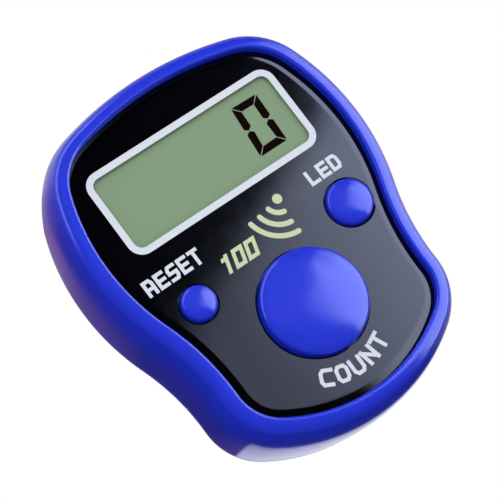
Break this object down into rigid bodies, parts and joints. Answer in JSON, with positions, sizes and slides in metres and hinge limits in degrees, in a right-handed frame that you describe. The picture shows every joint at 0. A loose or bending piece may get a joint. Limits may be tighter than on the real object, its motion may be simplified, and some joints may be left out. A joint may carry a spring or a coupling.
{
  "type": "digital hand tally counter",
  "caption": "Palm-size tally counter: bell-shaped glossy housing with a rolled rim, flat face plate, wide display window, one large and two small domed push buttons.",
  "frame": {"origin": "centre of the flat back, on the surface that the counter lies on", "axes": "+Z out of the face, +Y towards the display end, +X to the right of someone who reads it"},
  "size_m": [0.0344, 0.0426, 0.0134],
  "materials": {
    "glossy_blue": "glossy moulded blue plastic",
    "glossy_black": "polished black face plate",
    "clear_window": "clear display window and display glass",
    "display_film": "grey-green polarising film",
    "milk_plastic": "translucent white",
    "dark_plastic": "matt black moulding",
    "elastomer": "matt grey silicone rubber",
    "board_green": "green solder mask",
    "steel": "bright nickel-plated steel",
    "brass": "plain brass sheet",
    "ceramic": "off-white fired ceramic",
    "wire": "insulated wire"
  },
  "bodies": {
    "case": {"front_housing": "glossy_blue", "face_plate": "glossy_black", "display_window": "clear_window", "upper_polariser": "display_film", "upper_display_glass": "clear_window", "lower_display_glass": "clear_window", "display_reflector": "display_film", "backlight_diffuser": "milk_plastic", "zebra_strip": "elastomer", "circuit_board": "board_green", "chip_blob": "dark_plastic", "backlight_lamp": "milk_plastic", "lamp_resistor": "dark_plastic", "supply_capacitor": "ceramic", "battery_cell_left": "steel", "battery_cell_right": "steel", "link_contact": "steel", "negative_contact": "steel", "positive_contact": "steel", "buzzer_disc": "brass", "buzzer_ceramic": "ceramic", "buzzer_lead_ceramic": "wire", "buzzer_lead_disc": "wire", "rear_cover": "glossy_blue", "battery_door": "glossy_blue", "battery_door_screw": "steel", "case_screw_top": "steel", "case_screw_left": "steel", "case_screw_right": "steel", "board_screw_left": "steel", "board_screw_right": "steel", "count_switch_base": "dark_plastic", "count_switch_lid": "steel", "count_snap_dome": "steel", "led_switch_base": "dark_plastic", "led_switch_lid": "steel", "led_snap_dome": "steel", "reset_switch_base": "dark_plastic", "reset_switch_lid": "steel", "reset_snap_dome": "steel"},
    "count_key": {"count_button": "glossy_blue", "count_switch_plunger": "dark_plastic"},
    "led_key": {"led_button": "glossy_blue", "led_switch_plunger": "dark_plastic"},
    "reset_key": {"reset_button": "glossy_blue", "reset_switch_plunger": "dark_plastic"}
  },
  "joints": [
    {"name": "count_press", "type": "slide", "parent": "case", "child": "count_key", "axis": [0, 0, -1], "range_m": [0, 0.0004], "stiffness_N_per_m": 1500, "springref_m": -0.0001, "deforming": ["count_snap_dome"]},
    {"name": "led_press", "type": "slide", "parent": "case", "child": "led_key", "axis": [0, 0, -1], "range_m": [0, 0.0004], "stiffness_N_per_m": 1500, "springref_m": -0.0001, "deforming": ["led_snap_dome"]},
    {"name": "reset_press", "type": "slide", "parent": "case", "child": "reset_key", "axis": [0, 0, -1], "range_m": [0, 0.0004], "stiffness_N_per_m": 1500, "springref_m": -0.0001, "deforming": ["reset_snap_dome"]}
  ]
}
